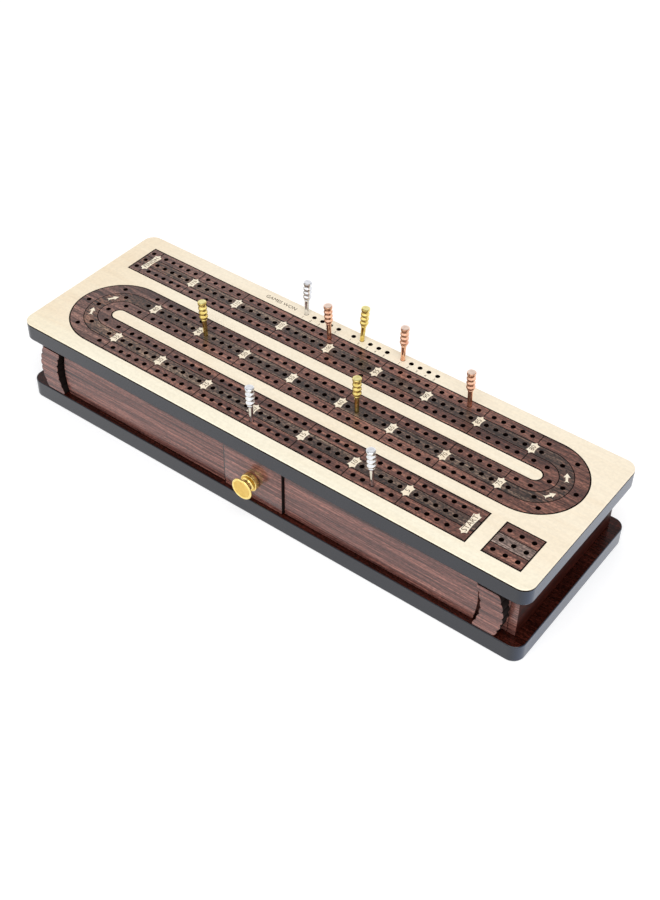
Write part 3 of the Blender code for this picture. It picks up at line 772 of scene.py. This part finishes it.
def make_badges():
    """Maple badges at every fifth hole, the start and finish badges and four arrows."""
    mesh_data = bmesh.new()
    chips = [placed(label_outline(*POINT_BADGE), (x, y)) for x, y, _ in badge_places()]
    chips += [placed(label_outline(*LONG_BADGE), spot) for spot in (START_BADGE, FINISH_BADGE)]
    for centre_x, lane_y, side, angles in (
        (LEFT_TURN_X, FRONT_LANE_Y, -1, LEFT_ARROWS),
        (RIGHT_TURN_X, MIDDLE_LANE_Y, 1, RIGHT_ARROWS),
    ):
        centre_y = lane_y + LANE_SPACING / 2
        for angle in map(radians, angles):
            spot = (centre_x + side * TURN_RADIUS * cos(angle),
                    centre_y + TURN_RADIUS * sin(angle))
            chips.append(placed(arrow_outline(), spot, pi / 2 + side * angle))
    for outline in chips:
        add_chip(mesh_data, outline, BADGE_LOW, BADGE_TOP)
    piece = finish_mesh("maple_badges", mesh_data, [badge_maple])
    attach(piece, "board")


def make_separators():
    """Thin dark lines across the lanes between groups of five holes."""
    mesh_data = bmesh.new()
    half = LANE_WIDTH / 2 - JOINT
    low, high = INLAY_TOP + LIFT * 0.3, INLAY_TOP + LIFT * 0.8
    for x, y, *_ in [*badge_places(), FINISH_BADGE]:
        line = rectangle((x - SEPARATOR_HALF, y - half), (x + SEPARATOR_HALF, y + half))
        add_chip(mesh_data, line, low, high)
    piece = finish_mesh("group_lines", mesh_data, [charred])
    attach(piece, "board")


# sizes of the lettering
NUMBER_SIZE = 0.66 * PITCH
LONG_NUMBER_SIZE = 0.56 * PITCH
START_SIZE = 0.74 * PITCH
FINISH_SIZE = 0.68 * PITCH
TITLE_SIZE = 0.62 * PITCH
COUNT_SIZE = 0.42 * PITCH
TITLE_PLACE = (FIRST_HOLE_X + 13.8 * PITCH, GAMES_ROW_Y - 0.08 * PITCH)
COUNT_DROP = 0.62 * PITCH       # from a games-won hole to the count in front of it
TEXT_LIFT = 0.005 * MM          # from a badge's face to the middle of its lettering
FIELD_TEXT_LIFT = 0.015 * MM
TEXT_HALF = 0.01 * MM           # half the lettering's thickness


def add_text(mesh_data, words, size, centre, turn, low):
    """Lettering as thin raised geometry, centred on a point and turned about Z."""
    curve = bpy.data.curves.new("lettering", "FONT")
    curve.body = words
    curve.size = size
    curve.align_x = "CENTER"
    curve.align_y = "CENTER"
    curve.extrude = TEXT_HALF
    curve.resolution_u = 3
    holder = place_object("lettering", curve)
    shape = evaluated_mesh(holder)
    place = Matrix.Translation((*centre, low))
    shape.transform(place @ Matrix.Rotation(turn, 4, "Z"))
    mesh_data.from_mesh(shape)
    bpy.data.objects.remove(holder)
    bpy.data.meshes.remove(shape)
    bpy.data.curves.remove(curve)


def make_lettering():
    """Point numbers on the badges, start, finish and the games-won row."""
    mesh_data = bmesh.new()
    on_badge = BADGE_TOP + TEXT_LIFT
    on_maple = SURFACE + FIELD_TEXT_LIFT
    upright = pi / 2
    for x, y, number in badge_places():
        size = NUMBER_SIZE if number < 100 else LONG_NUMBER_SIZE
        add_text(mesh_data, str(number), size, (x, y), upright, on_badge)
    add_text(mesh_data, "START", START_SIZE, START_BADGE, upright, on_badge)
    add_text(mesh_data, "FINISH", FINISH_SIZE, FINISH_BADGE, upright, on_badge)
    add_text(mesh_data, "GAMES WON", TITLE_SIZE, TITLE_PLACE, 0.0, on_maple)
    for row in games_rows():
        for count, (x, y) in enumerate(row, start=1):
            add_text(mesh_data, str(count), COUNT_SIZE, (x, y - COUNT_DROP), 0.0, on_maple)
    piece = finish_mesh("lettering", mesh_data, [ink])
    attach(piece, "board")


# ---------------- body
BOARD_EASE = 0.35 * MM
DRAWER_FRONT_EASE = 0.5 * MM
LOOKS_ALONG_Y = 0.6             # a face whose normal's Y is above this looks along Y
LOOKS_ALONG_X = 0.3


def eased_board(node, face, edge=None, ease=BOARD_EASE, body="board"):
    """A board in a CAD board's exact place, with softened edges.

    Where edge is given, the faces that look along X or Z are of that material.
    """
    low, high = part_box(node)
    mesh_data = bmesh.new()
    bmesh.ops.create_cube(mesh_data, size=1.0)
    for vertex in mesh_data.verts:
        vertex.co = Vector(
            low[i] + (vertex.co[i] + 0.5) * (high[i] - low[i]) for i in range(3))
    bmesh.ops.bevel(mesh_data, geom=list(mesh_data.edges), offset=ease, segments=3,
                    profile=0.5, affect="EDGES")
    mesh_data.normal_update()
    if edge:
        for item in mesh_data.faces:
            item.material_index = 0 if abs(item.normal.y) > LOOKS_ALONG_Y else 1
    piece = finish_mesh(node + "_finished", mesh_data, [face, edge or face], angle=40)
    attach(piece, body)
    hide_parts(node)
    return piece


BRACKET_WIDTH = 12.2 * MM
BRACKET_BULGE = 3.8 * MM
BRACKET_TOP_GAP = 1.4 * MM
BRACKET_EASE = 0.2 * MM
SCALLOPS = 6
SCALLOP_DEPTH = 1.0 * MM
SCALLOP_STEPS = 10
BOW_STEPS = 24
FACING_BOW = 0.5                # a facing's end bows this much of what the bracket does


def upright_plate(node, outline, face, edge):
    """A piece in a CAD node's place, its outline in XZ, with eased front and back edges."""
    low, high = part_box(node)
    depth = high.y - low.y
    ease = BRACKET_EASE
    eased = inset_outline(outline, ease)
    piece = plate(node + "_finished", [
        (0.0, eased), (ease, outline), (depth - ease, outline), (depth, eased),
    ], [face, edge, edge, face], side_slots=[0, 1, 0])
    for vertex in piece.data.vertices:
        x, z, along = vertex.co
        vertex.co = (x, high.y - along, z)
    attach(piece, "board")
    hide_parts(node)


def facing_end(start, low, high):
    """The end of a facing, bottom to top: it follows the bow of the bracket beside it."""
    points = []
    for i in range(BOW_STEPS + 1):
        share = i / BOW_STEPS
        points.append((start + FACING_BOW * BRACKET_BULGE * sin(pi * share),
                       low + share * (high - BRACKET_TOP_GAP - low)))
    points.append((start, high))
    return points


def make_facings():
    for node, face, sign in (("front_facing_left", body_rose, -1),
                             ("front_facing_right", body_rose_right, 1)):
        low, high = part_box(node)
        near, tip = sorted((sign * low.x, sign * high.x))
        end = facing_end(tip - FACING_BOW * BRACKET_BULGE, low.z, high.z)
        outline = [(near, low.z), *end, (near, high.z)]
        upright_plate(node, [(sign * x, z) for x, z in outline], face, face)
    low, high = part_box("back_facing")
    middle = (low.x + high.x) / 2
    end = facing_end(high.x - middle - FACING_BOW * BRACKET_BULGE, low.z, high.z)
    outline = [(middle + x, z) for x, z in end] + [(middle - x, z) for x, z in end[::-1]]
    upright_plate("back_facing", outline, body_rose_right, body_rose_right)


def make_body():
    make_facings()
    for node in ("back_wall", "front_wall_left", "front_wall_right"):
        eased_board(node, body_rose)
    for node in ("end_wall_left", "end_wall_right"):
        eased_board(node, body_rose, edge=end_rose)
    for node in ("drawer_guide_left", "drawer_guide_right"):
        eased_board(node, pine)


def bracket_edge(start, low, high, outward):
    """One long edge of a bracket, bottom to top: bowed outward, with scallops."""
    count = SCALLOPS * SCALLOP_STEPS
    points = []
    for i in range(count + 1):
        share = i / count
        bow = BRACKET_BULGE * sin(pi * share)
        scallop = SCALLOP_DEPTH * sqrt(abs(sin(pi * share * SCALLOPS)))
        points.append((start + bow + outward * scallop, low + share * (high - low)))
    return points


def make_brackets():
    """Scalloped brackets: rosewood faces and charred edges."""
    for node in ("bracket_front_left", "bracket_front_right",
                 "bracket_back_left", "bracket_back_right"):
        low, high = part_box(node)
        sign = 1 if high.x > 0 else -1
        tip = max(sign * low.x, sign * high.x)
        outer = tip - BRACKET_BULGE - SCALLOP_DEPTH
        shape = bracket_edge(outer - BRACKET_WIDTH, low.z, high.z, -1)
        shape += bracket_edge(outer, low.z, high.z, 1)[::-1]
        upright_plate(node, [(sign * x, z) for x, z in shape], bracket_rose, charred)


# ---------------- drawer
PROFILE_STEPS = 4               # points on each stretch of a smooth profile


def make_drawer():
    _, front_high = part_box("drawer_front")
    front = eased_board("drawer_front", drawer_rose, edge=charred, ease=DRAWER_FRONT_EASE,
                        body="drawer")
    for face in front.data.polygons:
        if abs(face.normal.x) > LOOKS_ALONG_X:
            face.material_index = 1
    for node in ("drawer_side_left", "drawer_side_right", "drawer_back", "drawer_floor"):
        eased_board(node, pine, body="drawer")
    make_knob()
    make_screw(front_high.y)


def smooth_profile(points):
    """A Catmull-Rom curve through profile points."""
    made = []
    for i in range(len(points) - 1):
        before = points[max(i - 1, 0)]
        start, end = points[i], points[i + 1]
        after = points[min(i + 2, len(points) - 1)]
        for step in range(PROFILE_STEPS):
            t = step / PROFILE_STEPS
            made.append(tuple(
                0.5 * (2 * b + (c - a) * t + (2 * a - 5 * b + 4 * c - d) * t * t
                       + (3 * b - a - 3 * c + d) * t ** 3)
                for a, b, c, d in zip(before, start, end, after)))
    made.append(points[-1])
    return made


KNOB_RIM = 5.8 * MM             # the inner edge of the rim round the knob's face
KNOB_SIDES = 56
END_FACE = 0.9                  # a turned piece's end faces look along its axis more than this


def make_knob():
    """The turned brass knob: foot, neck, bead and a broad face with a rolled rim."""
    low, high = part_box("knob")
    centre = ((low.x + high.x) / 2, high.y, (low.z + high.z) / 2)
    length = high.y - low.y
    foot = in_mm([(0.0, 0.0), (0.0, 5.2), (0.25, 5.55), (0.7, 5.7), (2.7, 5.7), (3.1, 5.6),
                  (3.4, 5.25)])
    neck = in_mm([(3.45, 5.0), (3.6, 4.1), (4.2, 3.35), (5.6, 3.05), (7.0, 3.4), (7.8, 4.6),
                  (8.1, 6.1), (8.5, 6.9), (9.0, 7.0)])
    neck += [(length - 0.3 * MM, 6.8 * MM), (length - 0.05 * MM, 6.4 * MM)]
    face = [(length, 6.1 * MM), (length - 0.15 * MM, KNOB_RIM), (length - 0.3 * MM, 5.6 * MM),
            (length - 0.32 * MM, 3.0 * MM), (length - 0.32 * MM, 0.0)]
    profile = foot + smooth_profile(neck) + face
    piece = turned("knob_finished", profile, centre, "-Y", brass, sides=KNOB_SIDES)
    piece.data.materials.append(brass_face)
    for item in piece.data.polygons:
        away = sqrt((item.center.x - centre[0]) ** 2 + (item.center.z - centre[2]) ** 2)
        if item.normal.y < -END_FACE and away < KNOB_RIM:
            item.material_index = 1
    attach(piece, "drawer")
    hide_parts("knob")


SCREW_SIDES = 32
SCREW_RADIUS = 1.4 * MM
SCREW_LENGTH = 4.2 * MM         # past the head
SCREW_SET_BACK = 0.3 * MM       # from the drawer front's back to the head
RECESS_SIZE = (3.6 * MM, 2.0 * MM, 0.7 * MM)
RECESS_BACK = 1.8 * MM          # from the foot of the head to the middle of the recess


def make_screw(face_y):
    """The pan-head screw inside the drawer that holds the knob, with a cross recess."""
    profile = in_mm([(-1.7, 0.0), (-1.66, 1.2), (-1.45, 2.2), (-0.8, 2.95), (-0.1, 3.1),
                     (0.0, 3.0)])
    profile += [(0.0, SCREW_RADIUS), (SCREW_LENGTH, SCREW_RADIUS), (SCREW_LENGTH, 0.0)]
    low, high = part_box("knob_screw")
    centre = ((low.x + high.x) / 2, face_y + SCREW_SET_BACK, (low.z + high.z) / 2)
    piece = turned("knob_screw_finished", profile, centre, "-Y", steel, sides=SCREW_SIDES)
    for turn in (0.0, pi / 2):
        bar = place_object("recess", recess_mesh(turn, centre))
        cut = piece.modifiers.new("recess", "BOOLEAN")
        cut.operation = "DIFFERENCE"
        cut.object = bar
        recessed = evaluated_mesh(piece)
        piece.modifiers.clear()
        piece.data = recessed
        bpy.data.objects.remove(bar)
    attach(piece, "drawer")
    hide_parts("knob_screw")


def recess_mesh(turn, centre):
    """One bar of the cross recess, turned about the screw's axis."""
    mesh_data = bmesh.new()
    place = Matrix.Translation(Vector(centre) + Vector((0, RECESS_BACK, 0)))
    place = place @ Matrix.Rotation(turn, 4, "Y") @ Matrix.Diagonal((*RECESS_SIZE, 1.0))
    bmesh.ops.create_cube(mesh_data, size=1.0, matrix=place)
    mesh = bpy.data.meshes.new("recess")
    mesh_data.to_mesh(mesh)
    mesh_data.free()
    return mesh


# ---------------- pegs
PEG_HEIGHT = 24.0 * MM
PEG_DEPTH = 5.2 * MM
BEADS = 4
BEAD_STEP = 3.1 * MM
BEAD_WAIST = 1.80 * MM
BEAD_BULGE = 0.87 * MM
BEAD_ARC_STEPS = 8
PEG_SIDES = 36
LAST_BEAD = 0.7                 # the share of the top bead below the peg's flat top


def peg_profile():
    """Heights from the hole's mouth: tapered shank, flare and stacked beads."""
    head = PEG_HEIGHT - BEADS * BEAD_STEP
    profile = [
        (-PEG_DEPTH, 0.0), (-PEG_DEPTH, 0.65 * MM), (-PEG_DEPTH + 0.3 * MM, 0.95 * MM),
        (0.0, 1.34 * MM), (head - 1.7 * MM, 1.50 * MM), (head - 1.1 * MM, 1.62 * MM),
        (head - 0.5 * MM, 1.95 * MM), (head, BEAD_WAIST),
    ]
    for count in range(BEADS):
        for step in range(1, BEAD_ARC_STEPS):
            share = step / BEAD_ARC_STEPS
            if count == BEADS - 1 and share > LAST_BEAD:
                continue
            swell = sin(pi * share ** 1.2)
            profile.append((head + (count + share) * BEAD_STEP,
                            BEAD_WAIST + BEAD_BULGE * swell ** 0.7))
    widest = BEAD_WAIST + BEAD_BULGE
    profile += [
        (PEG_HEIGHT - 0.55 * MM, widest), (PEG_HEIGHT - 0.2 * MM, widest - 0.12 * MM),
        (PEG_HEIGHT - 0.03 * MM, widest - 0.38 * MM), (PEG_HEIGHT, widest - 0.6 * MM),
        (PEG_HEIGHT - 0.06 * MM, 0.9 * MM), (PEG_HEIGHT - 0.07 * MM, 0.0),
    ]
    return profile


def peg_places():
    """For each peg: its hole, and in mm how far it stands out and its top leans in X and Y."""
    front_y = FRONT_LANE_Y - TRACK_OFFSET
    back_y = BACK_LANE_Y + TRACK_OFFSET
    return {
        "silver": (
            ((group_hole(4, 0), front_y), 0.7, (-0.4, -0.3)),
            ((group_hole(6, 2), front_y), 1.6, (-1.1, -0.9)),
            (games_hole(-1, 0), 0.0, (0.6, 0.5)),
        ),
        "gold": (
            ((group_hole(2, 0), MIDDLE_LANE_Y), 0.7, (-0.9, -0.7)),
            ((group_hole(5, 1), MIDDLE_LANE_Y), 0.3, (-0.3, -0.3)),
            (games_hole(0, 1), 0.2, (1.2, 1.0)),
        ),
        "copper": (
            ((group_hole(3, 4), back_y), 0.5, (-0.9, -0.7)),
            ((group_hole(6, 3), back_y), 1.0, (-0.6, -0.5)),
            (games_hole(1, 0), 0.0, (0.2, 0.2)),
        ),
    }


def make_pegs():
    finishes_and_top_lights = {"silver": (silver, silver_top_painted_light), "gold": (gold, gold_top_painted_light),
                "copper": (copper, copper_top_painted_light)}
    profile = peg_profile()
    for colour, pegs in peg_places().items():
        finish, top_painted_light = finishes_and_top_lights[colour]
        for number, ((x, y), raised, (lean_x, lean_y)) in enumerate(pegs, start=1):
            node = f"peg_{colour}_{number}"
            piece = turned(node + "_finished", profile, (0, 0, 0), "Z", finish, sides=PEG_SIDES)
            piece.data.materials.append(top_painted_light)
            # painted highlight: the flat tops take the paler copy of the metal
            for face in piece.data.polygons:
                if face.normal.z > END_FACE:
                    face.material_index = 1
            tilt = Euler((-atan2(lean_y * MM, PEG_HEIGHT), atan2(lean_x * MM, PEG_HEIGHT), 0.0))
            place = Matrix.Translation((x, y, SURFACE + raised * MM))
            piece.data.transform(place @ tilt.to_matrix().to_4x4())
            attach(piece, node)
            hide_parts(node)


# ---------------- studio
FLOOR_HALF = 4.0
FLOOR_GAP = 0.2 * MM            # the floor lies this far below the base board
SOFTBOX_PLACE = (0.35, -0.60, 1.35)
SOFTBOX_TARGET = (0.0, 0.0, 0.03)
SOFTBOX_SIZE = (1.3, 1.1)
SOFTBOX_POWER = 12.0
WALL_TOP = 0.56                 # heights on the world's ramp, and what is seen there
WALL_TONE = (1.25, 1.25, 1.27)
CEILING_EDGE = 0.72
CEILING_TONE = (0.34, 0.34, 0.35)


def make_floor():
    nodes = Nodes("studio_floor")
    nodes.to_shader(Base_Color=(0.62, 0.62, 0.62, 1.0), Roughness=0.9, Specular_IOR_Level=0.0,
                    Emission_Color=(1.0, 1.0, 1.0, 1.0), Emission_Strength=0.5)
    mesh_data = bmesh.new()
    bmesh.ops.create_grid(mesh_data, x_segments=1, y_segments=1, size=FLOOR_HALF)
    floor = finish_mesh("studio_floor", mesh_data, [nodes.material])
    floor.location.z = base_low.z - FLOOR_GAP


def aim(item, place, target, roll=0.0):
    """Put a lamp or a camera at place and point it at target, rolled by some degrees."""
    towards = (Vector(target) - Vector(place)).to_track_quat("-Z", "Y")
    item.location = place
    item.rotation_mode = "QUATERNION"
    item.rotation_quaternion = towards @ Euler((0.0, 0.0, radians(roll))).to_quaternion()


def make_softbox():
    data = bpy.data.lights.new("overhead_softbox", "AREA")
    data.shape = "RECTANGLE"
    data.size, data.size_y = SOFTBOX_SIZE
    data.energy = SOFTBOX_POWER
    aim(place_object("overhead_softbox", data), SOFTBOX_PLACE, SOFTBOX_TARGET)


def make_world():
    """A white studio: bright walls, and a ceiling that is darker overhead."""
    world = bpy.data.worlds.new("studio_world")
    world.use_nodes = True
    tree = world.node_tree
    place = tree.nodes.new("ShaderNodeTexCoord")
    split = tree.nodes.new("ShaderNodeSeparateXYZ")
    ramp = tree.nodes.new("ShaderNodeValToRGB")
    tree.links.new(place.outputs["Generated"], split.inputs[0])
    tree.links.new(split.outputs["Z"], ramp.inputs["Fac"])
    tree.links.new(ramp.outputs["Color"], tree.nodes["Background"].inputs["Color"])
    wall, ceiling = ramp.color_ramp.elements
    wall.position, wall.color = WALL_TOP, (*WALL_TONE, 1.0)
    ceiling.position, ceiling.color = CEILING_EDGE, (*CEILING_TONE, 1.0)
    bpy.context.scene.world = world


CAMERA_PLACE = (0.3628, -0.4759, SURFACE + 0.51145)
CAMERA_TARGET = (0.02187, -0.01313, SURFACE - 0.02575)
CAMERA_ROLL = 1.03              # degrees
CAMERA_LENS = 54.86             # mm
SENSOR_WIDTH = 36.0             # mm


def make_camera():
    data = bpy.data.cameras.new("camera")
    data.sensor_width = SENSOR_WIDTH
    data.lens = CAMERA_LENS
    data.clip_start = 0.01
    camera = place_object("camera", data)
    aim(camera, CAMERA_PLACE, CAMERA_TARGET, CAMERA_ROLL)
    bpy.context.scene.camera = camera


bpy.context.scene.view_settings.view_transform = "Standard"
make_camera()
make_floor()
make_world()
make_softbox()
make_base_board()
make_top_board()
make_maple_field()
make_track_strips()
make_starting_block()
make_badges()
make_separators()
make_lettering()
make_body()
make_brackets()
make_drawer()
make_pegs()
